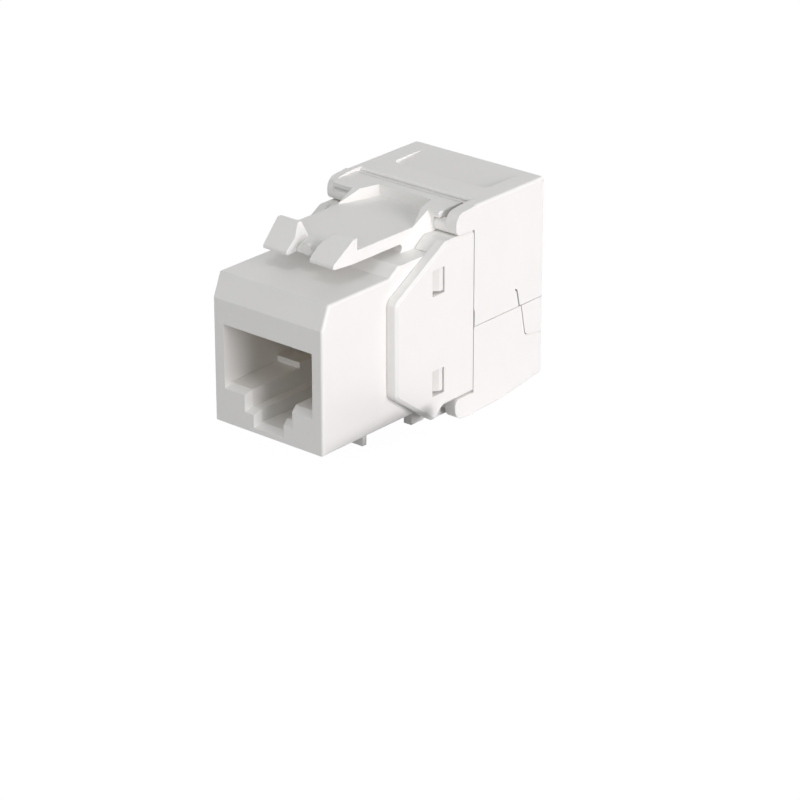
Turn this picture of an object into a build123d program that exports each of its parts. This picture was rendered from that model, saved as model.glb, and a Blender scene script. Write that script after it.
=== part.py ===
from build123d import *
import os

# Keystone jack with a two-flap rear cover. Lengths are in millimetres.
# X is across the jack, Y runs back from the port face and Z is up from the housing's underside.

# Front housing
HOUSING_WIDTH = 14.7
HOUSING_HEIGHT = 16.0
HOUSING_DEPTH = 17.6
SIDE_WALL = 1.25
TOP_WALL = 1.35
BOTTOM_WALL = 1.3
EDGE_ROUND = 0.3

# Slope over the port, and the step up to the shelf under the latch
BROW_Z = 13.45
BROW_DEPTH = 1.05
SHELF_START = 10.3
SHELF_RISE = 0.95
SHELF_RISE_RUN = 1.43

# Port for an eight-way modular plug
PORT_WIDTH = 11.9
PORT_TOP = 10.8
PORT_TO_REAR = 5.3
SHOULDER_Z = 3.75
NOTCH_1_WIDTH = 6.45
NOTCH_1_Z = 1.9
NOTCH_2_WIDTH = 4.05
NOTCH_2_Z = 0.5
LEAD_IN = 0.9
LEAD_RISE = 0.45
LEAD_NARROW = 0.3
LEDGE_Y = 8.0
LEDGE_HEIGHT = 0.65

# Feet under the housing that hold the panel's lower edge
STOP_FOOT_Y = 6.6
STOP_FOOT_DEPTH = 0.6
STOP_FOOT_DROP = 1.25
HOOK_FOOT_Y = 14.25
HOOK_FOOT_DEPTH = 2.0
HOOK_FOOT_DROP = 1.5
HOOK_FOOT_WIDTH = 1.0
FOOT_INSET = 0.55

# Snap lugs on the housing and the windows of the frame that they fill
WINDOW_Y = 15.35
WINDOW_DEPTH = 1.88
WINDOW_HEIGHT = 2.8
UPPER_WINDOW_Z = 12.83
LOWER_WINDOW_Z = 1.78
LUG_SIDE_GAP = 0.08
LUG_REAR_GAP = 0.1
LUG_BOTTOM_GAP = 0.24
LUG_FLAT = 0.55
LUG_SINK = 0.15

# Rear frame
FRAME_WIDTH = 17.4
FRAME_FRONT = 9.75
FRAME_REAR = 21.9
FRAME_TOP = 18.15
FRAME_BOTTOM = 0.2
PLATE_FRONT_TOP = 13.7
PLATE_FRONT_BOTTOM = 3.3
PLATE_DIAGONAL_END = 17.6
FRAME_LIP_START = 16.4
FRAME_LIP_SLOPE = 1.4
FRAME_LIP_ROUND = 1.0
FRAME_LIP_GAP = 0.02
PLATE_KEEL_Y = 15.5
PLATE_KEEL_Z = -0.9
PLATE_KEEL_WIDTH = 0.45
PLATE_NOTCH_Y = 17.2
PLATE_FRONT_ROUND = 1.0
PLATE_TOP_ROUND = 0.5
PLATE_NOTCH_ROUND = 0.7
FRAME_WALL = 1.45
FIT_GAP = 0.05
ROUND_MARGIN = 0.005

# Hinges of the two flaps
HINGE_Y = 19.8
KNUCKLE_RADIUS = 0.75
HINGE_PIN_RADIUS = 0.45
HINGE_PIN_LENGTH = 1.2
HINGE_CLEARANCE = 0.05
HINGE_RIDE = 0.06
KNUCKLE_STUB = 1.6
UPPER_ARM_HEIGHT = 2.6
LOWER_ARM_HEIGHT = 2.5
ARM_CORNER = 1.2
ARM_NOSE_DROP = 0.3
RIGHT_ARM_THICKNESS = 1.4
LEFT_ARM_THICKNESS = 0.85
WING_SIDE_GAP = 0.85
HINGE_BLOCK_FRONT = 19.1
HINGE_BLOCK_REACH = 2.8
UPPER_NOSE_Y = 18.9
LOWER_NOSE_Y = 18.4
WING_NOSE_DROP = 0.15
LOWER_BLOCK_DROP = 2.4

# Flaps
FLAP_REAR = 33.5
FLAP_WALL = 1.4
FLAP_TOP_THICKNESS = 1.3
FLAP_TOP_FRONT = 23.35
FLAP_FRONT_ROUND = 0.35
LIP_RADIUS = 3.25
LIP_STEP = 0.39
LIP_GROOVE_WIDTH = 0.15
LIP_GROOVE_DEPTH = 0.3
SEAM_Z = 7.47
SEAM_GAP = 0.06
FRAME_SEAM = 0.12
RELIEF_HEIGHT = 1.8
RELIEF_DEPTH = 0.12
LOWER_REAR_Z = -1.3
LOWER_FLAT_END = 26.6
LOWER_FLAT_RISE = 0.12
CABLE_RADIUS = 3.2
CABLE_LIP = 0.9
CABLE_LIP_RADIUS = 3.9

# Shallow ramp in the top of the upper flap
REAR_RAMP_WIDTH = 12.6
REAR_RAMP_START = 26.7
REAR_RAMP_END = 32.0
REAR_RAMP_DEPTH = 0.4
REAR_RAMP_CORNER = 0.8

# Slits that free the snap tongues at the rear corners of the flaps
UPPER_SLIT_WIDTH = 0.2
LOWER_SLIT_WIDTH = 0.11
UPPER_SLIT = [(28.8, 9.56), (29.13, 9.27), (29.55, 7.35)]
LOWER_SLIT = [(29.8, 7.6), (30.12, 6.1), (30.38, 4.75), (30.52, 4.1), (30.85, 3.8)]
SLIT_BEND = 0.2
GROOVE_WIDTH = 0.14
GROOVE_DEPTH = 0.05
GROOVE_END = (33.0, 3.5)
NOTCH_DEPTH = 0.28
NOTCH_TOP = 0.1
NOTCH_BOTTOM = 0.85

# Latch
LATCH_WIDTH = 10.16
LATCH_UNDER_Z = 17.9
LATCH_THICKNESS = 1.3
LATCH_ROOT_Y = 15.05
LATCH_SEAT_GAP = 0.04
TIP_Y = 4.75
TIP_TOP_Z = 18.35
HOOK_FRONT_Y = 7.4
HOOK_REAR_Y = 7.95
HOOK_TOP_Z = 20.5
FINGER_GAP = 3.1
FINGER_FLARE = 1.7
FLARE_RISE = 0.2
TIP_TAPER = 0.4
WEB_Y = 6.3
WEB_DIP = 0.9
WEB_SLOPE_END = 8.3
BOSS_RADIUS = 0.62
BOSS_REACH = 0.25

# Platform behind the latch and the well in it
PLATFORM_Z = 20.45
PLATFORM_FOOT_Y = 16.5
PLATFORM_RAMP_END = 19.0
ROOT_FLARE_SINK = 0.9
ROOT_FLARE = [(15.2, 0.02, 17.0), (16.4, 0.28, 19.07), (19.2, 0.83, 20.4)]
WELL_BACK_Y = 21.3
WELL_BACK_WIDTH = 7.0
WELL_KINK_WIDTH = 8.5
WELL_KINK_Y = 18.7

# Contact carrier and springs
CONTACT_COUNT = 8
CONTACT_PITCH = 1.016
SPRING_WIDTH = 0.45
SPRING_THICKNESS = 0.3
SPRING_LOW_ROW_Z = 12.75
SPRING_HIGH_ROW_Z = 14.2
SPRING_FRONT_Y = 2.4
SPRING_DIP_Z = 11.3
SPRING_END_GAP = 0.5
SPRING_END_Z = 7.7
SPRING_BEND = 0.45
SPRING_JOG_GAP = 1.4
SPRING_JOG_RUN = 1.1
SPRING_SLOT_GAP = 0.06
TONGUE_THICKNESS = 0.75
TONGUE_SETBACK = 0.4
TONGUE_SIDE = 0.6
CARRIER_THICKNESS = 2.3
CARRIER_GAP = 0.06
COMB_REACH = 0.9
COMB_WALL = 0.4
COMB_BOTTOM_Z = 7.0
CHANNEL_MARGIN = 0.3

# Circuit board
BOARD_GAP = 0.1
BOARD_THICKNESS = 1.2
BOARD_HOLE_RADIUS = 0.37
BOARD_HOLE_SIDES = 12
BOARD_MARGIN = 0.1
TAIL_PROUD = 0.35

# Terminal block and wire contacts
BLOCK_REAR = 21.0
BLOCK_GAP = 0.1
WIRE_PITCH = 3.2
WIRE_ROW_HIGH_Z = 13.3
WIRE_ROW_LOW_Z = 4.6
BLADE_WIDTH = 2.2
BLADE_THICKNESS = 0.5
BLADE_SLOT = 0.35
BLADE_SLOT_DEPTH = 3.0
BLADE_MOUTH = 1.1
BLADE_MOUTH_DEPTH = 0.6
BLADE_TURN = 45.0
BLADE_TIP = 24.6
BLADE_PIN_WIDTH = 0.45
TOWER_WIDTH = 0.9
TOWER_HEIGHT = 3.4
TOWER_TIP = 25.4
TOWER_PEAK = 0.8
POCKET_GAP = 0.06

# Sizes that follow from the ones above
SHELF_Z = HOUSING_HEIGHT + SHELF_RISE
HALF_HOUSING = HOUSING_WIDTH / 2
HALF_FRAME = FRAME_WIDTH / 2
PLATE_INNER = HALF_HOUSING + FIT_GAP
CHAMBER_HALF = HALF_HOUSING - SIDE_WALL
CHAMBER_BOTTOM = BOTTOM_WALL
CHAMBER_TOP = SHELF_Z - TOP_WALL
LATCH_TOP_Z = LATCH_UNDER_Z + LATCH_THICKNESS
LATCH_AXIS_Z = LATCH_UNDER_Z + LATCH_THICKNESS / 2
PORT_DEPTH = HOUSING_DEPTH - PORT_TO_REAR
UPPER_AXIS_Z = FRAME_TOP + HINGE_RIDE + KNUCKLE_RADIUS
LOWER_AXIS_Z = FRAME_BOTTOM - HINGE_RIDE - KNUCKLE_RADIUS
FLAP_TOP = FRAME_TOP + HINGE_RIDE + UPPER_ARM_HEIGHT
FLAP_BOTTOM = FRAME_BOTTOM - HINGE_RIDE - LOWER_ARM_HEIGHT
FLAP_FRONT = FRAME_REAR + FRAME_SEAM
RIGHT_ARM = HALF_FRAME - RIGHT_ARM_THICKNESS
LEFT_ARM = -HALF_FRAME + LEFT_ARM_THICKNESS
STUB_INNER = RIGHT_ARM - KNUCKLE_STUB
HINGE_BLOCK_REAR = HINGE_Y + HINGE_BLOCK_REACH
HINGE_BLOCK_HALF = STUB_INNER - FIT_GAP
CARRIER_REAR = PORT_DEPTH + CARRIER_THICKNESS
BOARD_FRONT = CARRIER_REAR + BOARD_GAP
BOARD_REAR = BOARD_FRONT + BOARD_THICKNESS
BLOCK_FRONT = BOARD_REAR + BOARD_GAP + TAIL_PROUD
BLOCK_SEAT_Y = HOUSING_DEPTH + FIT_GAP
TONGUE_TOP = SPRING_LOW_ROW_Z - SPRING_THICKNESS / 2 - SPRING_SLOT_GAP
TONGUE_BOTTOM = TONGUE_TOP - TONGUE_THICKNESS
TONGUE_FRONT = SPRING_FRONT_Y + SPRING_THICKNESS / 2 + TONGUE_SETBACK
TONGUE_HALF = CONTACT_PITCH * (CONTACT_COUNT - 1) / 2 + TONGUE_SIDE
CHANNEL_HALF = TONGUE_HALF + CHANNEL_MARGIN
CHANNEL_TOP = SPRING_LOW_ROW_Z + SPRING_THICKNESS / 2 + CHANNEL_MARGIN
CHANNEL_FRONT = SPRING_FRONT_Y - SPRING_THICKNESS / 2 - CHANNEL_MARGIN

# The origin lies under the middle of the jack, level with its lowest point
TO_ORIGIN = Pos(0, -FLAP_REAR / 2, -FLAP_BOTTOM)


def slab(points, x_from, x_to, radii=None):
    """Prism across X from a closed side outline of (depth, height) points."""
    if radii is None:
        radii = [0] * len(points)
    outline = FilletPolyline(*points, radius=radii, close=True)
    face = Plane.YZ.offset(x_from) * make_face(outline)
    return extrude(face, amount=x_to - x_from)


def block(x_from, x_to, y_from, y_to, z_from, z_to):
    """Box from its six limits."""
    size = (x_to - x_from, y_to - y_from, z_to - z_from)
    centre = ((x_from + x_to) / 2, (y_from + y_to) / 2, (z_from + z_to) / 2)
    return Pos(*centre) * Box(*size)


def bar(y, z, radius, x_from, x_to):
    """Round bar across X."""
    middle = Pos((x_from + x_to) / 2, y, z)
    return middle * Rot(0, 90, 0) * Cylinder(radius, x_to - x_from)


def both_sides(solid):
    """The solid and its mirror image on the other side of the jack."""
    return solid + mirror(solid, about=Plane.YZ)


def front_face(points, y):
    """Face across the jack at depth y from (x, height) points."""
    outline = Polyline(*[(x, y, z) for x, z in points], close=True)
    return make_face(outline)


def contact_x(index):
    return (index - (CONTACT_COUNT - 1) / 2) * CONTACT_PITCH


def port_profile(rise, narrow):
    """Half of the port's outline, mirrored to the left side."""
    right = [
        (PORT_WIDTH / 2, PORT_TOP),
        (PORT_WIDTH / 2, SHOULDER_Z + rise),
        (NOTCH_1_WIDTH / 2 - narrow, SHOULDER_Z + rise),
        (NOTCH_1_WIDTH / 2 - narrow, NOTCH_1_Z + rise),
        (NOTCH_2_WIDTH / 2 - narrow, NOTCH_1_Z + rise),
        (NOTCH_2_WIDTH / 2 - narrow, NOTCH_2_Z + rise),
    ]
    left = [(-x, z) for x, z in reversed(right)]
    return right + left


def port_cavity():
    """Plug space: lead-in at the mouth, then a straight run with a low ledge on each shoulder."""
    mouth = front_face(port_profile(0, 0), 0)
    throat = front_face(port_profile(LEAD_RISE, LEAD_NARROW), LEAD_IN)
    lead_in = loft([mouth, throat], ruled=True)
    run = extrude(throat, amount=PORT_DEPTH - LEAD_IN, dir=(0, 1, 0))
    floor_z = SHOULDER_Z + LEAD_RISE
    ledge_inner = NOTCH_1_WIDTH / 2 - LEAD_NARROW
    ledge = block(ledge_inner, PORT_WIDTH / 2, LEDGE_Y, PORT_DEPTH, floor_z, floor_z + LEDGE_HEIGHT)
    return lead_in + run - both_sides(ledge)


def snap_lug(window_z):
    """Wedge that ramps up towards the rear and catches in a frame window."""
    rear = WINDOW_Y + WINDOW_DEPTH - LUG_REAR_GAP
    proud = HALF_FRAME - LUG_SINK
    wedge = [
        (HALF_HOUSING - FIT_GAP, WINDOW_Y + FIT_GAP),
        (HALF_HOUSING, WINDOW_Y + FIT_GAP),
        (proud, rear - LUG_FLAT),
        (proud, rear),
        (HALF_HOUSING - FIT_GAP, rear),
    ]
    low = window_z + LUG_BOTTOM_GAP
    high = window_z + WINDOW_HEIGHT - LUG_SIDE_GAP
    outline = Plane.XY.offset(low) * make_face(Polyline(*wedge, close=True))
    return extrude(outline, amount=high - low)


def latch_root():
    """Root of the latch, with a round seat in its front, and the ramp up to the platform."""
    half = LATCH_WIDTH / 2
    side = [
        (LATCH_ROOT_Y, SHELF_Z - FIT_GAP),
        (LATCH_ROOT_Y, LATCH_TOP_Z),
        (PLATFORM_FOOT_Y, LATCH_TOP_Z),
        (PLATFORM_RAMP_END, PLATFORM_Z),
        (HINGE_Y, PLATFORM_Z),
        (HINGE_Y, SHELF_Z - FIT_GAP),
    ]
    seat_radius = LATCH_THICKNESS / 2 + LATCH_SEAT_GAP
    seat = bar(LATCH_ROOT_Y, LATCH_AXIS_Z, seat_radius, -half, half)
    return slab(side, -half, half) - seat + both_sides(root_flare(0))


def root_flare(gap):
    """Foot that widens towards the rear on the right side of the root and its ramp."""
    edge = LATCH_WIDTH / 2
    foot_z = SHELF_Z - FIT_GAP
    faces = []
    for y, spread, top_z in ROOT_FLARE:
        points = [(edge - ROOT_FLARE_SINK, foot_z), (edge + gap + spread, foot_z), (edge + gap, top_z)]
        faces.append(front_face(points, y))
    return loft(faces, ruled=True)


def hinge_block(axis_z, seat_z, end_z, nose_y):
    """Block for the hinge pins, with a wing at each end that passes over the flap's stub."""
    direction = 1 if end_z > axis_z else -1
    wing_z = axis_z + direction * (KNUCKLE_RADIUS + HINGE_CLEARANCE)
    side = [
        (HINGE_BLOCK_FRONT, seat_z),
        (HINGE_BLOCK_FRONT, wing_z),
        (nose_y, end_z - direction * WING_NOSE_DROP),
        (nose_y + WING_NOSE_DROP, end_z),
        (HINGE_BLOCK_REAR, end_z),
        (HINGE_BLOCK_REAR, seat_z),
    ]
    left, right = LEFT_ARM + FIT_GAP, RIGHT_ARM - WING_SIDE_GAP
    solid = slab(side, left, right)
    low, high = sorted([seat_z - direction, wing_z])
    for inner, outer in ((HINGE_BLOCK_HALF, right + 1), (left - 1, -HINGE_BLOCK_HALF)):
        solid -= bar(HINGE_Y, axis_z, KNUCKLE_RADIUS + HINGE_CLEARANCE, inner, outer)
        solid -= block(inner, outer, nose_y - 1, HINGE_Y, low, high)
    return solid


def hinge_bores(axis_z):
    """Bores for the two pins of a flap, from the ends of the hinge block."""
    inner = HINGE_BLOCK_HALF - HINGE_PIN_LENGTH - FIT_GAP
    bore = bar(HINGE_Y, axis_z, HINGE_PIN_RADIUS + HINGE_CLEARANCE, inner, HINGE_BLOCK_HALF + FIT_GAP)
    return both_sides(bore)


def well():
    """Pocket in the platform, open to the front over the latch."""
    mouth = LATCH_WIDTH / 2
    plan = [
        (-WELL_BACK_WIDTH / 2, WELL_BACK_Y),
        (WELL_BACK_WIDTH / 2, WELL_BACK_Y),
        (WELL_KINK_WIDTH / 2, WELL_KINK_Y),
        (mouth, PLATFORM_FOOT_Y),
        (-mouth, PLATFORM_FOOT_Y),
        (-WELL_KINK_WIDTH / 2, WELL_KINK_Y),
    ]
    face = Plane.XY.offset(LATCH_TOP_Z) * make_face(Polyline(*plan, close=True))
    return extrude(face, amount=HOUSING_HEIGHT)


def front_housing():
    """Port shell with its brow, shelf, snap lugs and feet, and the platform behind the latch."""
    side = [
        (0, 0),
        (0, BROW_Z),
        (BROW_DEPTH, HOUSING_HEIGHT),
        (SHELF_START, HOUSING_HEIGHT),
        (SHELF_START + SHELF_RISE_RUN, SHELF_Z),
        (HOUSING_DEPTH, SHELF_Z),
        (HOUSING_DEPTH, 0),
    ]
    shell = slab(side, -HALF_HOUSING, HALF_HOUSING)
    long_edges = shell.edges().filter_by(lambda e: abs(abs(e.center().X) - HALF_HOUSING) < 0.01)
    front_edges = long_edges.filter_by(lambda e: e.center().Y < SHELF_START + SHELF_RISE_RUN + FIT_GAP)
    shell = fillet(front_edges, EDGE_ROUND)
    chamber = block(-CHAMBER_HALF, CHAMBER_HALF, PORT_DEPTH, HOUSING_DEPTH, CHAMBER_BOTTOM, CHAMBER_TOP)
    channel = block(-CHANNEL_HALF, CHANNEL_HALF, CHANNEL_FRONT, PORT_DEPTH, PORT_TOP - FIT_GAP, CHANNEL_TOP)
    shell = shell - chamber - channel - port_cavity()
    lugs = snap_lug(UPPER_WINDOW_Z) + snap_lug(LOWER_WINDOW_Z)
    foot_half = HALF_HOUSING - FOOT_INSET
    stop_foot = block(-foot_half, foot_half, STOP_FOOT_Y, STOP_FOOT_Y + STOP_FOOT_DEPTH, -STOP_FOOT_DROP, FIT_GAP)
    hook_foot = block(
        foot_half - HOOK_FOOT_WIDTH, foot_half,
        HOOK_FOOT_Y, HOOK_FOOT_Y + HOOK_FOOT_DEPTH,
        -HOOK_FOOT_DROP, FIT_GAP,
    )
    shell = shell + both_sides(lugs) + stop_foot + both_sides(hook_foot)
    platform = hinge_block(UPPER_AXIS_Z, FRAME_TOP + FIT_GAP, PLATFORM_Z, UPPER_NOSE_Y)
    return shell + (latch_root() + platform - well() - hinge_bores(UPPER_AXIS_Z))


def latch_arm():
    """Two-fingered spring latch, rounded at its root where it bends."""
    half = LATCH_WIDTH / 2
    radius = LATCH_THICKNESS / 2
    side = [
        (TIP_Y, LATCH_UNDER_Z),
        (TIP_Y, TIP_TOP_Z),
        (HOOK_FRONT_Y, HOOK_TOP_Z),
        (HOOK_REAR_Y, HOOK_TOP_Z),
        (HOOK_REAR_Y, LATCH_TOP_Z),
        (LATCH_ROOT_Y, LATCH_TOP_Z),
        (LATCH_ROOT_Y, LATCH_UNDER_Z),
    ]
    arm = slab(side, -half, half, [0.2, 0.15, 0.12, 0.05, 0.1, 0, 0])
    arm += bar(LATCH_ROOT_Y, LATCH_AXIS_Z, radius, -half, half)
    gap = block(-FINGER_GAP / 2, FINGER_GAP / 2, TIP_Y - 1, WEB_Y, LATCH_UNDER_Z - 1, HOOK_TOP_Z + 1)
    flare = front_face(
        [
            (-FINGER_GAP / 2, LATCH_TOP_Z + FLARE_RISE),
            (FINGER_GAP / 2, LATCH_TOP_Z + FLARE_RISE),
            (FINGER_GAP / 2 + FINGER_FLARE / 2, HOOK_TOP_Z),
            (FINGER_GAP / 2 + FINGER_FLARE / 2, HOOK_TOP_Z + 1),
            (-FINGER_GAP / 2 - FINGER_FLARE / 2, HOOK_TOP_Z + 1),
            (-FINGER_GAP / 2 - FINGER_FLARE / 2, HOOK_TOP_Z),
        ],
        TIP_Y - 1,
    )
    flare = extrude(flare, amount=HOOK_REAR_Y + 1 - TIP_Y, dir=(0, 1, 0))
    dip = [
        (WEB_Y - 0.1, LATCH_TOP_Z - WEB_DIP),
        (WEB_SLOPE_END, LATCH_TOP_Z),
        (WEB_SLOPE_END, HOOK_TOP_Z + 1),
        (WEB_Y - 0.1, HOOK_TOP_Z + 1),
    ]
    recess = slab(dip, -FINGER_GAP / 2, FINGER_GAP / 2)
    boss = Pos(0, (WEB_Y + WEB_SLOPE_END) / 2, LATCH_TOP_Z - BOSS_RADIUS) * Rot(90, 0, 0)
    boss *= Cylinder(BOSS_RADIUS, WEB_SLOPE_END - WEB_Y)
    nub = Pos(0, WEB_Y - BOSS_REACH / 2, LATCH_TOP_Z - BOSS_RADIUS) * Rot(90, 0, 0) * Cylinder(BOSS_RADIUS, BOSS_REACH)
    taper = [(TIP_Y, half + 1), (TIP_Y, half - TIP_TAPER), (HOOK_FRONT_Y, half), (HOOK_FRONT_Y, half + 1)]
    tip_cut = make_face(Polyline(*[(x, y) for y, x in taper], close=True))
    tip_cut = extrude(Plane.XY.offset(LATCH_UNDER_Z - 1) * tip_cut, amount=5)
    return arm - gap - flare - recess + boss + nub - both_sides(tip_cut)


def frame_plate():
    """Side plate of the frame with its two windows, on the right-hand side."""
    outline = [
        (FRAME_FRONT, PLATE_FRONT_BOTTOM),
        (FRAME_FRONT, PLATE_FRONT_TOP),
        (PLATE_DIAGONAL_END, FRAME_TOP),
        (FRAME_REAR, FRAME_TOP),
        (FRAME_REAR, FRAME_BOTTOM),
        (PLATE_NOTCH_Y, FRAME_BOTTOM),
        (PLATE_KEEL_Y + PLATE_KEEL_WIDTH, PLATE_KEEL_Z),
        (PLATE_KEEL_Y, PLATE_KEEL_Z),
    ]
    rounds = [PLATE_FRONT_ROUND, PLATE_FRONT_ROUND, PLATE_TOP_ROUND, 0, 0, PLATE_NOTCH_ROUND, 0, 0]
    plate = slab(outline, PLATE_INNER, HALF_FRAME, rounds)
    rim = plate.faces().sort_by(Axis.X)[-1].edges().filter_by(lambda e: e.center().Y < FRAME_REAR - 0.01)
    plate = chamfer(rim, EDGE_ROUND)
    for window_z in (UPPER_WINDOW_Z, LOWER_WINDOW_Z):
        plate -= block(0, HALF_FRAME + 1, WINDOW_Y, WINDOW_Y + WINDOW_DEPTH, window_z, window_z + WINDOW_HEIGHT)
    return plate


def rear_frame():
    """Frame behind the housing: side plates, collar round the terminal block and lower hinge block."""
    inner = HALF_FRAME - FRAME_WALL
    plate_root = PLATE_INNER + FIT_GAP
    collar_front = HOUSING_DEPTH + FIT_GAP
    lip_z = SHELF_Z + FRAME_LIP_GAP
    collar = block(-plate_root, plate_root, collar_front, FRAME_REAR, FRAME_BOTTOM, lip_z + FIT_GAP)
    lip = [
        (FRAME_LIP_START, lip_z),
        (FRAME_LIP_START + FRAME_LIP_SLOPE, FRAME_TOP),
        (FRAME_REAR, FRAME_TOP),
        (FRAME_REAR, lip_z),
    ]
    rounds = [0, FRAME_LIP_ROUND, 0, 0]
    frame = both_sides(frame_plate()) + collar + slab(lip, -plate_root, plate_root, rounds)
    frame -= block(-inner, inner, collar_front - 1, FRAME_REAR + 1, FRAME_BOTTOM + FRAME_WALL, lip_z - TOP_WALL)
    root_half = LATCH_WIDTH / 2 + FIT_GAP
    frame -= block(-root_half, root_half, 0, HINGE_Y + FIT_GAP, SHELF_Z - 2 * FIT_GAP, FRAME_TOP + 1)
    frame -= both_sides(root_flare(FIT_GAP))
    lower = hinge_block(LOWER_AXIS_Z, FRAME_BOTTOM + FIT_GAP, FRAME_BOTTOM - LOWER_BLOCK_DROP, LOWER_NOSE_Y)
    behind = block(-HALF_FRAME, HALF_FRAME, FRAME_REAR, HINGE_BLOCK_REAR + 1, FRAME_BOTTOM, FRAME_TOP)
    return frame + (lower - behind - hinge_bores(LOWER_AXIS_Z))


def contact_carrier():
    """Wall that closes the port, with the tongue the springs wrap round and the comb for their ends."""
    gap = CARRIER_GAP
    wall = block(
        -CHAMBER_HALF + gap, CHAMBER_HALF - gap,
        PORT_DEPTH + gap, CARRIER_REAR,
        CHAMBER_BOTTOM + gap, CHAMBER_TOP - gap,
    )
    tongue = block(-TONGUE_HALF, TONGUE_HALF, TONGUE_FRONT, CARRIER_REAR, TONGUE_BOTTOM, TONGUE_TOP)
    carrier = wall + tongue
    for index in range(CONTACT_COUNT):
        slot_half = SPRING_WIDTH / 2 + SPRING_SLOT_GAP
        x = contact_x(index)
        top = SPRING_HIGH_ROW_Z + SPRING_THICKNESS / 2 + SPRING_SLOT_GAP
        carrier -= block(x - slot_half, x + slot_half, PORT_DEPTH, CARRIER_REAR + 1, TONGUE_TOP, top)
    for index in range(CONTACT_COUNT + 1):
        x = contact_x(index) - CONTACT_PITCH / 2
        carrier += block(
            x - COMB_WALL / 2, x + COMB_WALL / 2,
            PORT_DEPTH - COMB_REACH, PORT_DEPTH + 2 * gap,
            COMB_BOTTOM_Z, TONGUE_BOTTOM + gap,
        )
    return carrier


def contact_spring(index):
    """Flat sprung wire: tail in the board, over the tongue, round its front and back down a slope."""
    row_z = SPRING_HIGH_ROW_Z if index % 2 else SPRING_LOW_ROW_Z
    tail_y = BOARD_REAR + TAIL_PROUD
    route = [
        (tail_y, row_z),
        (SPRING_FRONT_Y, SPRING_LOW_ROW_Z),
        (SPRING_FRONT_Y, SPRING_DIP_Z),
        (PORT_DEPTH - SPRING_END_GAP, SPRING_END_Z),
    ]
    if row_z != SPRING_LOW_ROW_Z:
        jog_y = PORT_DEPTH + SPRING_JOG_GAP
        route[1:1] = [(jog_y, row_z), (jog_y - SPRING_JOG_RUN, SPRING_LOW_ROW_Z)]
    path = FilletPolyline(*route, radius=SPRING_BEND)
    strip = trace(path, line_width=SPRING_THICKNESS)
    x = contact_x(index) - SPRING_WIDTH / 2
    return extrude(Plane.YZ.offset(x) * strip, amount=SPRING_WIDTH)


def wire_positions():
    """Places of the wire contacts, in two rows of four."""
    columns = [(column - 1.5) * WIRE_PITCH for column in range(4)]
    return [(x, z) for z in (WIRE_ROW_HIGH_Z, WIRE_ROW_LOW_Z) for x in columns]


def circuit_board():
    """Board across the housing that joins the springs to the wire contacts."""
    half = CHAMBER_HALF - BOARD_MARGIN
    board = block(
        -half, half,
        BOARD_FRONT, BOARD_REAR,
        CHAMBER_BOTTOM + BOARD_MARGIN, CHAMBER_TOP - BOARD_MARGIN,
    )
    spring_rows = [SPRING_HIGH_ROW_Z if index % 2 else SPRING_LOW_ROW_Z for index in range(CONTACT_COUNT)]
    holes = [(contact_x(index), z) for index, z in enumerate(spring_rows)]
    holes += wire_positions()
    for x, z in holes:
        outline = Pos(x, BOARD_REAR + BOARD_GAP, z) * Rot(90, 0, 0) * RegularPolygon(BOARD_HOLE_RADIUS, BOARD_HOLE_SIDES)
        board -= extrude(outline, amount=BOARD_THICKNESS + 2 * BOARD_GAP)
    return board


def wire_contact(x, z):
    """Slotted blade, turned on its own axis, with a pin through the board."""
    tail = BOARD_FRONT - BOARD_GAP / 2
    half = BLADE_WIDTH / 2
    pin = BLADE_PIN_WIDTH / 2
    slot_end = BLADE_TIP - BLADE_SLOT_DEPTH
    outline = [
        (-pin, tail),
        (pin, tail),
        (pin, BLOCK_FRONT),
        (half, BLOCK_FRONT),
        (half, BLADE_TIP),
        (BLADE_MOUTH / 2, BLADE_TIP),
        (BLADE_SLOT / 2, BLADE_TIP - BLADE_MOUTH_DEPTH),
        (BLADE_SLOT / 2, slot_end),
        (-BLADE_SLOT / 2, slot_end),
        (-BLADE_SLOT / 2, BLADE_TIP - BLADE_MOUTH_DEPTH),
        (-BLADE_MOUTH / 2, BLADE_TIP),
        (-half, BLADE_TIP),
        (-half, BLOCK_FRONT),
        (-pin, BLOCK_FRONT),
    ]
    face = Plane.XY.offset(-BLADE_THICKNESS / 2) * make_face(Polyline(*outline, close=True))
    blade = extrude(face, amount=BLADE_THICKNESS)
    pin_side = (BLADE_THICKNESS - BLADE_PIN_WIDTH) / 2
    trim = block(-half, half, tail - 1, BLOCK_FRONT, BLADE_THICKNESS / 2 - pin_side, BLADE_THICKNESS)
    blade -= trim
    return Pos(x, 0, z) * Rot(0, BLADE_TURN, 0) * blade


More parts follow.
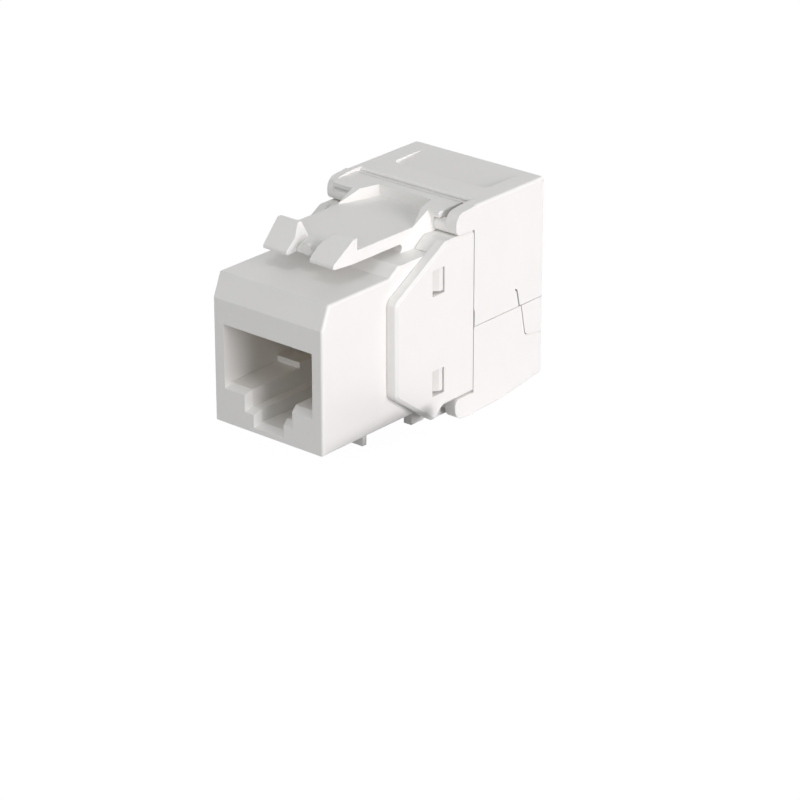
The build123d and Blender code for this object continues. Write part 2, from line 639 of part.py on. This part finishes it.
def terminal_block():
    """Block behind the board with a pocket for each blade and towers to press the wires between."""
    seat_half = CHAMBER_HALF - BLOCK_GAP
    block_half = HALF_FRAME - FRAME_WALL - BLOCK_GAP
    body = block(
        -seat_half, seat_half,
        BLOCK_FRONT, BLOCK_SEAT_Y,
        CHAMBER_BOTTOM + BLOCK_GAP, CHAMBER_TOP - BLOCK_GAP,
    )
    body += block(
        -block_half, block_half,
        BLOCK_SEAT_Y, BLOCK_REAR,
        FRAME_BOTTOM + FRAME_WALL + BLOCK_GAP, SHELF_Z + FIT_GAP - TOP_WALL - BLOCK_GAP,
    )
    for row_z in (WIRE_ROW_HIGH_Z, WIRE_ROW_LOW_Z):
        for column in range(5):
            x = (column - 2) * WIRE_PITCH
            peak = [
                (x - TOWER_WIDTH / 2, BLOCK_REAR - FIT_GAP),
                (x + TOWER_WIDTH / 2, BLOCK_REAR - FIT_GAP),
                (x + TOWER_WIDTH / 2, TOWER_TIP - TOWER_PEAK),
                (x, TOWER_TIP),
                (x - TOWER_WIDTH / 2, TOWER_TIP - TOWER_PEAK),
            ]
            face = Plane.XY.offset(row_z - TOWER_HEIGHT / 2) * make_face(Polyline(*peak, close=True))
            body += extrude(face, amount=TOWER_HEIGHT)
    pocket = Box(BLADE_WIDTH + 2 * POCKET_GAP, 2 * HOUSING_DEPTH, BLADE_THICKNESS + 2 * POCKET_GAP)
    for x, z in wire_positions():
        body -= Pos(x, BLOCK_REAR, z) * Rot(0, BLADE_TURN, 0) * pocket
    return body


def flap_hinge(axis_z, far):
    """On each side an arm round the hinge axis, the stub beside the hinge block and the pin in its bore."""
    direction = 1 if far > axis_z else -1
    near = axis_z - direction * KNUCKLE_RADIUS
    front = HINGE_Y - KNUCKLE_RADIUS
    rear = FLAP_FRONT + FIT_GAP
    side = [(front, near), (front, far - direction * ARM_NOSE_DROP), (FLAP_FRONT, far), (rear, far), (rear, near)]
    radii = [KNUCKLE_RADIUS - ROUND_MARGIN, ARM_CORNER, 0, 0, 0]
    right_stub = bar(HINGE_Y, axis_z, KNUCKLE_RADIUS, STUB_INNER, RIGHT_ARM + FIT_GAP)
    left_stub = bar(HINGE_Y, axis_z, KNUCKLE_RADIUS, LEFT_ARM - FIT_GAP, -STUB_INNER)
    pin = bar(HINGE_Y, axis_z, HINGE_PIN_RADIUS, STUB_INNER - HINGE_PIN_LENGTH, STUB_INNER + FIT_GAP)
    arms = slab(side, RIGHT_ARM, HALF_FRAME, radii) + slab(side, -HALF_FRAME, LEFT_ARM, radii)
    return arms + right_stub + left_stub + both_sides(pin)


def flap_lip(axis_z, far):
    """Thin lip at the front edge that turns round the hinge block as the flap swings, with its groove."""
    direction = 1 if far > axis_z else -1
    low, high = sorted([far - direction * FLAP_TOP_THICKNESS, far - direction * LIP_STEP])
    lip = block(LEFT_ARM - FIT_GAP, RIGHT_ARM + FIT_GAP, HINGE_Y, FLAP_TOP_FRONT + FIT_GAP, low, high)
    groove_low, groove_high = sorted([far, far - direction * (LIP_STEP + LIP_GROOVE_DEPTH)])
    groove = block(LEFT_ARM, RIGHT_ARM, FLAP_TOP_FRONT - LIP_GROOVE_WIDTH, FLAP_TOP_FRONT, groove_low, groove_high)
    return lip - groove - bar(HINGE_Y, axis_z, LIP_RADIUS, -HALF_FRAME, HALF_FRAME)


def flap_notch(low, high):
    """Room between the arms for the hinge block."""
    return block(LEFT_ARM, RIGHT_ARM, 0, FLAP_TOP_FRONT, low, high)


def cable_opening():
    """Round way in for the cable, shared by the two flaps."""
    middle = Pos(0, FLAP_REAR, SEAM_Z) * Rot(90, 0, 0)
    return middle * Cylinder(CABLE_RADIUS, 4 * FLAP_WALL)


def cable_lip():
    """Half-round collar inside the rear wall that steadies the cable."""
    front = FLAP_REAR - FLAP_WALL - CABLE_LIP
    middle = Pos(0, front + CABLE_LIP / 2 + FIT_GAP, SEAM_Z) * Rot(90, 0, 0)
    return middle * Cylinder(CABLE_LIP_RADIUS, CABLE_LIP + 2 * FIT_GAP)


def upper_flap():
    """Upper half of the rear cover."""
    low = SEAM_Z + SEAM_GAP / 2
    body = block(-HALF_FRAME, HALF_FRAME, FLAP_FRONT, FLAP_REAR, low, FLAP_TOP)
    top_edges = body.edges().filter_by(Axis.Y).filter_by(lambda e: e.center().Z > FLAP_TOP - 0.01)
    rear_edges = body.edges().filter_by(lambda e: e.center().Y > FLAP_REAR - 0.01 and e.center().Z > low + 0.01)
    body = fillet(top_edges + rear_edges, EDGE_ROUND)
    inner = HALF_FRAME - FLAP_WALL
    hollow = block(-inner, inner, 0, FLAP_REAR - FLAP_WALL, low - 1, FLAP_TOP - FLAP_TOP_THICKNESS)
    body -= hollow + flap_notch(low, FLAP_TOP + 1)
    front_edge = body.edges().filter_by(
        lambda e: abs(e.center().Y - FLAP_TOP_FRONT) < 0.01 and e.center().Z > FLAP_TOP - 0.01
    )
    body = fillet(front_edge, FLAP_FRONT_ROUND)
    ramp = [
        (REAR_RAMP_START, FLAP_TOP - REAR_RAMP_DEPTH),
        (REAR_RAMP_END, FLAP_TOP),
        (REAR_RAMP_END, FLAP_TOP + 1),
        (REAR_RAMP_START, FLAP_TOP + 1),
    ]
    ramp = slab(ramp, -REAR_RAMP_WIDTH / 2, REAR_RAMP_WIDTH / 2)
    corners = ramp.edges().filter_by(Axis.Z).group_by(Axis.Y)[0]
    ramp = fillet(corners, REAR_RAMP_CORNER)
    relief = block(HALF_FRAME - FLAP_WALL - 1, HALF_FRAME + 1, 0, FLAP_FRONT + RELIEF_DEPTH, low - 1, low + RELIEF_HEIGHT)
    collar = cable_lip() - block(-HALF_FRAME, HALF_FRAME, 0, 2 * FLAP_REAR, -FLAP_TOP, low)
    slit = wall_slit(UPPER_SLIT, UPPER_SLIT_WIDTH)
    flap = body - ramp + collar + flap_lip(UPPER_AXIS_Z, FLAP_TOP) + flap_hinge(UPPER_AXIS_Z, FLAP_TOP)
    return flap - cable_opening() - both_sides(slit + relief)


def wall_slit(points, width):
    """Slit through the points, right through the right-hand wall of a flap."""
    strip = trace(FilletPolyline(*points, radius=SLIT_BEND), line_width=width)
    return extrude(Plane.YZ.offset(HALF_FRAME - FLAP_WALL - 1) * strip, amount=FLAP_WALL + 2)


def tongue_groove():
    """Shallow groove at the foot of the lower snap tongue and the notch it ends in."""
    groove = trace(Polyline(LOWER_SLIT[-1], GROOVE_END, (FLAP_REAR, GROOVE_END[1])), line_width=GROOVE_WIDTH)
    groove = extrude(Plane.YZ.offset(HALF_FRAME - GROOVE_DEPTH) * groove, amount=1)
    notch = [
        (FLAP_REAR - NOTCH_DEPTH, GROOVE_END[1] + NOTCH_TOP),
        (FLAP_REAR + FIT_GAP, GROOVE_END[1] + NOTCH_TOP),
        (FLAP_REAR + FIT_GAP, GROOVE_END[1] - NOTCH_BOTTOM),
    ]
    return groove + slab(notch, HALF_FRAME - FLAP_WALL, HALF_FRAME + 1)


def lower_flap():
    """Lower half of the rear cover, with an underside that rises towards the rear."""
    high = SEAM_Z - SEAM_GAP / 2
    flat_z = FLAP_BOTTOM + LOWER_FLAT_RISE
    outline = [
        (FLAP_FRONT, FLAP_BOTTOM),
        (FLAP_FRONT, high),
        (FLAP_REAR, high),
        (FLAP_REAR, LOWER_REAR_Z),
        (LOWER_FLAT_END, flat_z),
    ]
    body = slab(outline, -HALF_FRAME, HALF_FRAME)
    low_edges = body.edges().filter_by(lambda e: e.center().Z < 0 and abs(e.center().X) > HALF_FRAME - 0.01)
    rear_edges = body.edges().filter_by(lambda e: e.center().Y > FLAP_REAR - 0.01 and e.center().Z < high - 0.01)
    body = fillet(low_edges.filter_by(lambda e: e.center().Y > FLAP_FRONT + 0.01) + rear_edges, EDGE_ROUND)
    inner = HALF_FRAME - FLAP_WALL
    hollow_outline = [
        (0, FLAP_BOTTOM + FLAP_TOP_THICKNESS),
        (0, high + 1),
        (FLAP_REAR - FLAP_WALL, high + 1),
        (FLAP_REAR - FLAP_WALL, LOWER_REAR_Z + FLAP_TOP_THICKNESS),
        (LOWER_FLAT_END, flat_z + FLAP_TOP_THICKNESS),
        (FLAP_FRONT, FLAP_BOTTOM + FLAP_TOP_THICKNESS),
    ]
    body -= slab(hollow_outline, -inner, inner) + flap_notch(FLAP_BOTTOM - 1, high)
    collar = cable_lip() - block(-HALF_FRAME, HALF_FRAME, 0, 2 * FLAP_REAR, high, 2 * FLAP_TOP)
    flap = body + collar + flap_lip(LOWER_AXIS_Z, FLAP_BOTTOM) + flap_hinge(LOWER_AXIS_Z, FLAP_BOTTOM)
    slit = wall_slit(LOWER_SLIT, LOWER_SLIT_WIDTH) + tongue_groove()
    return flap - cable_opening() - both_sides(slit)


def write(name, solid):
    """One STEP file for a node, moved to the origin."""
    solid = TO_ORIGIN * solid
    solid.label = name
    export_step(solid, f"parts/{name}.step")


os.makedirs("parts", exist_ok=True)
write("front_housing", front_housing())
write("latch_arm", latch_arm())
write("rear_frame", rear_frame())
write("contact_carrier", contact_carrier())
for number in range(CONTACT_COUNT):
    write(f"contact_spring_{number + 1}", contact_spring(number))
write("circuit_board", circuit_board())
write("terminal_block", terminal_block())
for number, (blade_x, blade_z) in enumerate(wire_positions()):
    write(f"wire_contact_{number + 1}", wire_contact(blade_x, blade_z))
write("upper_flap", upper_flap())
write("lower_flap", lower_flap())
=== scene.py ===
import math

import bmesh
import bpy
import numpy as np
from mathutils import Matrix, Vector


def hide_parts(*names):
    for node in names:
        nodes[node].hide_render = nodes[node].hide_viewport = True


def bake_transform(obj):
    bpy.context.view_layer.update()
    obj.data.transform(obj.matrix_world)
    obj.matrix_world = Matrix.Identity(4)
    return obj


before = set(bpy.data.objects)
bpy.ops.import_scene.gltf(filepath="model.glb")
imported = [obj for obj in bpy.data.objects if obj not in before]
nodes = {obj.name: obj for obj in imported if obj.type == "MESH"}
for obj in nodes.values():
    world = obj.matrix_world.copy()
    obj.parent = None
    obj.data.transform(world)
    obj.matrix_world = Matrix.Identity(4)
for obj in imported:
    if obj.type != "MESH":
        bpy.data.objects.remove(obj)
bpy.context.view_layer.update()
MM = 0.001

# Camera. It stands 346 mm from the jack, to the right of its port and above it, as in the photograph.
# The direction, distance, focal length and shift come from the housing's corners there.
CAMERA_TURN = math.radians(40.256)
CAMERA_RISE = math.radians(23.672)
CAMERA_TO_JACK = Vector((-13.649, -4.122, -346.081))
JACK_TO_FRAME = Vector((0, -16.75, 2.36))
FOCAL_PIXELS = 3427.08
IMAGE_MIDDLE = (403.931, 396.959)
IMAGE_SIZE = 800
SENSOR_WIDTH = 36
NEAREST_SEEN = 0.01

to_right = Vector((math.cos(CAMERA_TURN), math.sin(CAMERA_TURN), 0))
to_eye = Vector((
    math.sin(CAMERA_TURN) * math.cos(CAMERA_RISE),
    -math.cos(CAMERA_TURN) * math.cos(CAMERA_RISE),
    math.sin(CAMERA_RISE),
))
turn = Matrix((to_right, to_eye.cross(to_right), to_eye))
camera_data = bpy.data.cameras.new("camera")
camera_data.sensor_width = SENSOR_WIDTH
camera_data.lens = FOCAL_PIXELS / IMAGE_SIZE * SENSOR_WIDTH
camera_data.shift_x = (IMAGE_SIZE / 2 - IMAGE_MIDDLE[0]) / IMAGE_SIZE
camera_data.shift_y = (IMAGE_MIDDLE[1] - IMAGE_SIZE / 2) / IMAGE_SIZE
camera_data.clip_start = NEAREST_SEEN
camera = bpy.data.objects.new("camera", camera_data)
bpy.context.scene.collection.objects.link(camera)
eye = (JACK_TO_FRAME - turn.transposed() @ CAMERA_TO_JACK) * MM
camera.matrix_world = Matrix.Translation(eye) @ turn.transposed().to_4x4()
bpy.context.scene.camera = camera
bpy.context.scene.view_settings.view_transform = "Standard"


# Floor and backdrop. The floor is matt white card, with the jack's soft shadow left on it.
# The camera sees both as white, straight on, in gloss or through a clear piece.
# To matt surfaces they are dimmer, as a plain room is.
CARD_TONE = "#BCBCBC"
CARD_GLOW = 0.93
GLOW_STRENGTH = 1.06
ROOM_WHITE = "#F6F7F8"
ROOM_LIGHT = 0.34
PLAIN_WHITE = (1, 1, 1, 1)
FLOOR_HALF = 1.5


def linear(code):
    """Linear RGBA of an sRGB hex colour: the sRGB curve undone, channel by channel."""
    channels = [int(code[i:i + 2], 16) / 255 for i in (1, 3, 5)]
    return [c / 12.92 if c <= 0.04045 else ((c + 0.055) / 1.055) ** 2.4 for c in channels] + [1.0]


def add(tree, kind, settings=None, inputs=None):
    """One shader node with its settings, and its inputs as values or as other nodes' outputs."""
    node = tree.nodes.new("ShaderNode" + kind)
    for name, value in (settings or {}).items():
        setattr(node, name, value)
    for name, value in (inputs or {}).items():
        if isinstance(value, bpy.types.NodeSocket):
            tree.links.new(value, node.inputs[name])
        else:
            node.inputs[name].default_value = value
    return node


def empty_tree(owner):
    """The node tree of a material or world, cleared."""
    owner.use_nodes = True
    owner.node_tree.nodes.clear()
    return owner.node_tree


def direct_sight(tree):
    """1 where the camera sees a surface, by itself or in a mirror or through glass, else 0."""
    rays = add(tree, "LightPath")
    mirrored = add(tree, "Math", {"operation": "ADD"}, {
        0: rays.outputs["Is Glossy Ray"], 1: rays.outputs["Is Transmission Ray"],
    })
    return add(tree, "Math", {"operation": "ADD", "use_clamp": True}, {
        0: rays.outputs["Is Camera Ray"], 1: mirrored.outputs[0],
    }).outputs[0]


world = bpy.data.worlds.new("studio")
bpy.context.scene.world = world
tree = empty_tree(world)
seen = direct_sight(tree)
room = add(tree, "Background", inputs={"Color": linear(ROOM_WHITE), "Strength": ROOM_LIGHT})
backdrop = add(tree, "Background", inputs={"Color": PLAIN_WHITE, "Strength": 1})
mixed = add(tree, "MixShader", inputs={0: seen, 1: room.outputs[0], 2: backdrop.outputs[0]})
add(tree, "OutputWorld", inputs={"Surface": mixed.outputs[0]})

card = bpy.data.materials.new("white_card")
tree = empty_tree(card)
share = add(tree, "Math", {"operation": "MULTIPLY"}, {0: direct_sight(tree), 1: CARD_GLOW})
paper = add(tree, "BsdfDiffuse", inputs={"Color": linear(CARD_TONE)})
glow = add(tree, "Emission", inputs={"Color": PLAIN_WHITE, "Strength": GLOW_STRENGTH})
mixed = add(tree, "MixShader", inputs={0: share.outputs[0], 1: paper.outputs[0], 2: glow.outputs[0]})
add(tree, "OutputMaterial", inputs={"Surface": mixed.outputs[0]})

floor_mesh = bpy.data.meshes.new("floor")
corners = [(x * FLOOR_HALF, y * FLOOR_HALF, 0) for x, y in ((-1, -1), (1, -1), (1, 1), (-1, 1))]
floor_mesh.from_pydata(corners, [], [(0, 1, 2, 3)])
floor_mesh.materials.append(card)
floor = bpy.data.objects.new("floor", floor_mesh)
bpy.context.scene.collection.objects.link(floor)


# Lamps. A wide softbox stands to the right of the jack, a weaker one hangs above it, and a third
# fills the port from the front. Two more stand low behind the jack and on its left, so that those
# sides aren't dark in other views.
LAMP_WHITE = "#FFFBFD"
LAMP_AIM = Vector((0, 0, 0.012))


def softbox(name, place, size, power, colour):
    """Square lamp of the given size, at a point and turned to the jack's middle."""
    lamp = bpy.data.lights.new(name, "AREA")
    lamp.shape = "SQUARE"
    lamp.size = size
    lamp.energy = power
    lamp.color = linear(colour)[:3]
    box = bpy.data.objects.new(name, lamp)
    box.location = place
    box.rotation_euler = (LAMP_AIM - Vector(place)).to_track_quat("-Z", "Y").to_euler()
    bpy.context.scene.collection.objects.link(box)


softbox("right_softbox", place=(0.61, -0.04, 0.09), size=0.4, power=3.95, colour=LAMP_WHITE)
softbox("high_softbox", place=(0.11, -0.18, 0.59), size=0.2, power=0.5, colour=ROOM_WHITE)
softbox("front_softbox", place=(0.1, -0.57, 0.22), size=0.4, power=0.58, colour=ROOM_WHITE)
softbox("rear_softbox", place=(0.02, 0.6, 0.05), size=0.3, power=0.8, colour=ROOM_WHITE)
softbox("left_softbox", place=(-0.6, -0.02, 0.05), size=0.3, power=0.8, colour=ROOM_WHITE)


# Flag. It is a low strip of card under matt black felt, stood on edge to the right of the port.
# It takes the low light off the jack's right lower edge, and the camera doesn't see it.
FLAG_FRONT = (16.5, -0.5)
FLAG_REAR = (11.0, 15.0)
FLAG_HEIGHT = 3.8
FELT_BLACK = "#202020"

ends = [Vector((*end, 0)) + JACK_TO_FRAME for end in (FLAG_FRONT, FLAG_REAR)]
heights = (0, 0, FLAG_HEIGHT, FLAG_HEIGHT)
corners = [(end.x * MM, end.y * MM, z * MM) for end, z in zip(ends + ends[::-1], heights)]
flag_mesh = bpy.data.meshes.new("flag")
flag_mesh.from_pydata(corners, [], [(0, 1, 2, 3)])
felt = bpy.data.materials.new("black_felt")
tree = empty_tree(felt)
cloth = add(tree, "BsdfDiffuse", inputs={"Color": linear(FELT_BLACK)})
add(tree, "OutputMaterial", inputs={"Surface": cloth.outputs[0]})
flag_mesh.materials.append(felt)
flag = bpy.data.objects.new("flag", flag_mesh)
flag.visible_camera = False
bpy.context.scene.collection.objects.link(flag)


# Front housing. It is injection moulded in white polycarbonate, with the port, the shelf and the platform.
# The tool was spark eroded, so the skin has a fine satin grain, and the white clouds a little where it flowed.
# The real grain is too fine to show, so it is drawn a few times coarser.
GRAIN = 0.14 * MM
GRAIN_DEPTH = 0.02 * MM
GRAIN_STRENGTH = 0.12
FLOW = 5.0 * MM
SMOOTHER, ROUGHER = 0.05, 0.07
EDGE_SOFTNESS = 0.09 * MM
EDGE_SAMPLES = 4
PLASTIC_IOR = 1.58
COLOUR_A, COLOUR_B, COLOUR_OUT = 6, 7, 2


def moulded_plastic(name, light, shade, roughness):
    """Plastic whose tone drifts between two colours and whose edges and grain are in its normals."""
    material = bpy.data.materials.new(name)
    tree = empty_tree(material)
    place = add(tree, "TexCoord").outputs["Object"]
    flow = add(tree, "TexNoise", inputs={"Vector": place, "Scale": 1 / FLOW, "Detail": 3})
    tone = add(tree, "Mix", {"data_type": "RGBA"}, {
        0: flow.outputs["Fac"], COLOUR_A: linear(shade), COLOUR_B: linear(light),
    })
    grain = add(tree, "TexNoise", inputs={"Vector": place, "Scale": 1 / GRAIN, "Detail": 2})
    gloss = add(tree, "MapRange", inputs={
        "Value": grain.outputs["Fac"], "To Min": roughness - SMOOTHER, "To Max": roughness + ROUGHER,
    })
    edge = add(tree, "Bevel", {"samples": EDGE_SAMPLES}, {"Radius": EDGE_SOFTNESS})
    bump = add(tree, "Bump", inputs={
        "Strength": GRAIN_STRENGTH, "Distance": GRAIN_DEPTH,
        "Height": grain.outputs["Fac"], "Normal": edge.outputs[0],
    })
    skin = add(tree, "BsdfPrincipled", inputs={
        "Base Color": tone.outputs[COLOUR_OUT], "Roughness": gloss.outputs[0],
        "IOR": PLASTIC_IOR, "Normal": bump.outputs[0],
    })
    add(tree, "OutputMaterial", inputs={"Surface": skin.outputs[0]})
    return material


def dress(names, material):
    """Gives CAD nodes one material."""
    for name in names:
        nodes[name].data.materials.clear()
        nodes[name].data.materials.append(material)


white_plastic = moulded_plastic("white_polycarbonate", "#F2F1EF", "#EEEDEA", 0.42)
dress(["front_housing"], white_plastic)


# Latch. On the real jack it is one moulding with the housing: a flat spring that ends in two hooked fingers.
# It bends along its length when it is pressed, and the slot under it ends in a half round.
# The arm keeps its CAD shape as far as ARM_CUT, and a skin over its root carries it on into the housing.
LATCH_HALF = 5.08
LATCH_TOP = 19.2
LATCH_UNDER = 17.9
SHELF_TOP = 16.95
SLOT_END = 14.82
ARC_POINTS = 17
ARM_CUT = 14.2
SKIN_FOOT = 16.9
SKIN_TOP_FRONT = 14.5
SKIN_TOP_REAR = 15.6
SKIN_LOW_REAR = 15.35
SKIN_COVER = 0.005
SINK = 0.03
SINK_RUN = 0.5
BEND_FRONT = 11.2
BEND_STEP = 0.3
SAME_POINT = 1e-7
SAME_SEAM = 2e-6
FLAT_WITHIN = 0.002
SHARP_FROM = math.radians(30)


def in_frame(points):
    """Points of the jack, in millimetres from the port's lower edge, moved to the frame, in metres."""
    return (np.asarray(points, float) + np.array(JACK_TO_FRAME)) * MM


def root_skin():
    """Corners and faces of the skin over the root: a side outline, carried across the latch.

    The outline runs round the half circle at the slot's end, along the shelf, up and forward along the top.
    The ring before it fits the arm, and the ring behind it sinks into the housing, so no step is left.
    """
    radius = (LATCH_UNDER - SHELF_TOP) / 2
    angle = np.radians(np.linspace(90, -90, ARC_POINTS))
    arc = np.stack([
        SLOT_END + radius * (np.cos(angle) - 1),
        SHELF_TOP + radius * (np.sin(angle) + 1),
    ], axis=1)
    top = LATCH_TOP + SKIN_COVER
    foot_front = (arc[-1, 0], SKIN_FOOT)
    foot_rear = (SKIN_LOW_REAR, SKIN_FOOT)
    outline = np.vstack([arc, [foot_front, foot_rear, (SKIN_TOP_REAR, top), (SKIN_TOP_FRONT, top)]])
    front = np.array([(ARM_CUT, LATCH_UNDER), (ARM_CUT, LATCH_TOP)])
    rear = outline[-3:-1] + [(SINK_RUN, 0), (SINK_RUN, -SINK - SKIN_COVER)]
    half = np.concatenate([
        np.full(len(outline), LATCH_HALF + SKIN_COVER), [LATCH_HALF] * 2, [LATCH_HALF - SINK] * 2,
    ])
    side = np.column_stack([half, np.vstack([outline, front, rear])])
    corners = np.vstack([side, side * (-1, 1, 1)])

    count = len(side)
    first, last = 0, len(outline) - 1
    low, high = last - 2, last - 1
    arm_low, arm_high, rear_low, rear_high = range(count - 4, count)
    walls = [
        list(range(len(outline))),
        [arm_low, first, last, arm_high],
        [low, rear_low, rear_high, high],
    ]
    edges = [(i, i + 1) for i in range(low)]
    edges += [(high, last), (arm_low, first), (last, arm_high)]
    edges += [(low, rear_low), (rear_high, high), (rear_low, rear_high)]
    faces = walls + [[i + count for i in wall] for wall in walls]
    faces += [[a, b, b + count, a + count] for a, b in edges]
    return in_frame(corners), faces


arm = nodes["latch_arm"].data
corners = np.empty(3 * len(arm.vertices))
arm.vertices.foreach_get("co", corners)
latch_mesh = bpy.data.meshes.new("latch")
latch_mesh.from_pydata(corners.reshape(-1, 3), [], [tuple(face.vertices) for face in arm.polygons])
shape = bmesh.new()
shape.from_mesh(latch_mesh)
bmesh.ops.remove_doubles(shape, verts=shape.verts, dist=SAME_POINT)
bmesh.ops.dissolve_limit(shape, angle_limit=FLAT_WITHIN, verts=shape.verts, edges=shape.edges)
for y in np.append(np.arange(BEND_FRONT, ARM_CUT, BEND_STEP), ARM_CUT):
    plane = in_frame((0, y, 0))
    geometry = [*shape.verts, *shape.edges, *shape.faces]
    bmesh.ops.bisect_plane(
        shape, geom=geometry, plane_co=plane, plane_no=(0, 1, 0), clear_outer=y == ARM_CUT,
    )
root_mesh = bpy.data.meshes.new("latch_root")
root_corners, root_faces = root_skin()
root_mesh.from_pydata(root_corners, [], root_faces)
shape.from_mesh(root_mesh)
bmesh.ops.remove_doubles(shape, verts=shape.verts, dist=SAME_SEAM)
bmesh.ops.recalc_face_normals(shape, faces=shape.faces)
shape.to_mesh(latch_mesh)
shape.free()
latch_mesh.polygons.foreach_set("use_smooth", [True] * len(latch_mesh.polygons))
latch_mesh.set_sharp_from_angle(angle=SHARP_FROM)
latch_mesh.materials.append(white_plastic)
latch = bpy.data.objects.new("latch", latch_mesh)
bpy.context.scene.collection.objects.link(latch)
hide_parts("latch_arm")
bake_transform(latch)


# Rear frame. It is a second moulding in the housing's white, with a plate down each side.
# It is pushed on from behind until the housing's lugs snap into the windows in its plates.
dress(["rear_frame"], white_plastic)


# Contact carrier. It closes the port from behind, and its comb keeps the springs in line.
# It is moulded in a glass-filled polycarbonate, whose fibres leave the skin a little duller. Its grey is
# painted shade, which darkens the back of the port where it lies in shadow.
carrier_plastic = moulded_plastic("glass_filled_polycarbonate_painted_shade_grey", "#A5A19A", "#9A968F", 0.5)
dress(["contact_carrier"], carrier_plastic)


# Contact springs and wire blades. The springs are gold-plated phosphor bronze, the blades tin-plated brass.
# Both are stamped from rolled strip, so fine lines run along them, and the tin is the duller of the two.
# The lines are drawn coarser than the real ones, so that they show.
GOLD_LINE = 0.08 * MM
TIN_LINE = 0.1 * MM
LINE_DEPTH = 0.01 * MM
LINE_STRENGTH = 0.1
LINE_STRETCH = (1, 0.05, 1)
LINE_SMOOTHER, LINE_ROUGHER = 0.08, 0.1


def plated_metal(name, colour, roughness, line):
    """Plated strip with fine rolling lines along the depth of the jack."""
    material = bpy.data.materials.new(name)
    tree = empty_tree(material)
    place = add(tree, "TexCoord").outputs["Object"]
    along = add(tree, "Mapping", inputs={"Vector": place, "Scale": LINE_STRETCH})
    lines = add(tree, "TexNoise", inputs={"Vector": along.outputs[0], "Scale": 1 / line, "Detail": 2})
    gloss = add(tree, "MapRange", inputs={
        "Value": lines.outputs["Fac"],
        "To Min": roughness - LINE_SMOOTHER, "To Max": roughness + LINE_ROUGHER,
    })
    bump = add(tree, "Bump", inputs={
        "Strength": LINE_STRENGTH, "Distance": LINE_DEPTH, "Height": lines.outputs["Fac"],
    })
    skin = add(tree, "BsdfPrincipled", inputs={
        "Base Color": linear(colour), "Metallic": 1.0,
        "Roughness": gloss.outputs[0], "Normal": bump.outputs[0],
    })
    add(tree, "OutputMaterial", inputs={"Surface": skin.outputs[0]})
    return material


gold = plated_metal("gold_plate", "#E3B862", 0.28, GOLD_LINE)
tin = plated_metal("tin_plate", "#C9CACB", 0.36, TIN_LINE)
dress([f"contact_spring_{number}" for number in range(1, 9)], gold)
dress([f"wire_contact_{number}" for number in range(1, 9)], tin)


# Circuit board. It is glass-epoxy laminate, held between the carrier and the terminal block.
# The green solder mask is flooded on and cured, which leaves it glossier than the moulded pieces.
board = moulded_plastic("green_solder_mask", "#2F6B45", "#285E3C", 0.3)
dress(["circuit_board"], board)


# Terminal block. It holds the wire blades upright between its towers, where the wires are pressed in.
# It is moulded in the housing's polycarbonate, with a little grey in it.
block_plastic = moulded_plastic("pale_grey_polycarbonate", "#DADAD6", "#D2D2CE", 0.45)
dress(["terminal_block"], block_plastic)


# Flaps. They are the two halves of the rear cover, moulded in the housing's white, and close round the cable.
# The upper one swings on pins in the housing's hinge blocks, the lower one on pins in the rear frame's.
dress(["upper_flap", "lower_flap"], white_plastic)
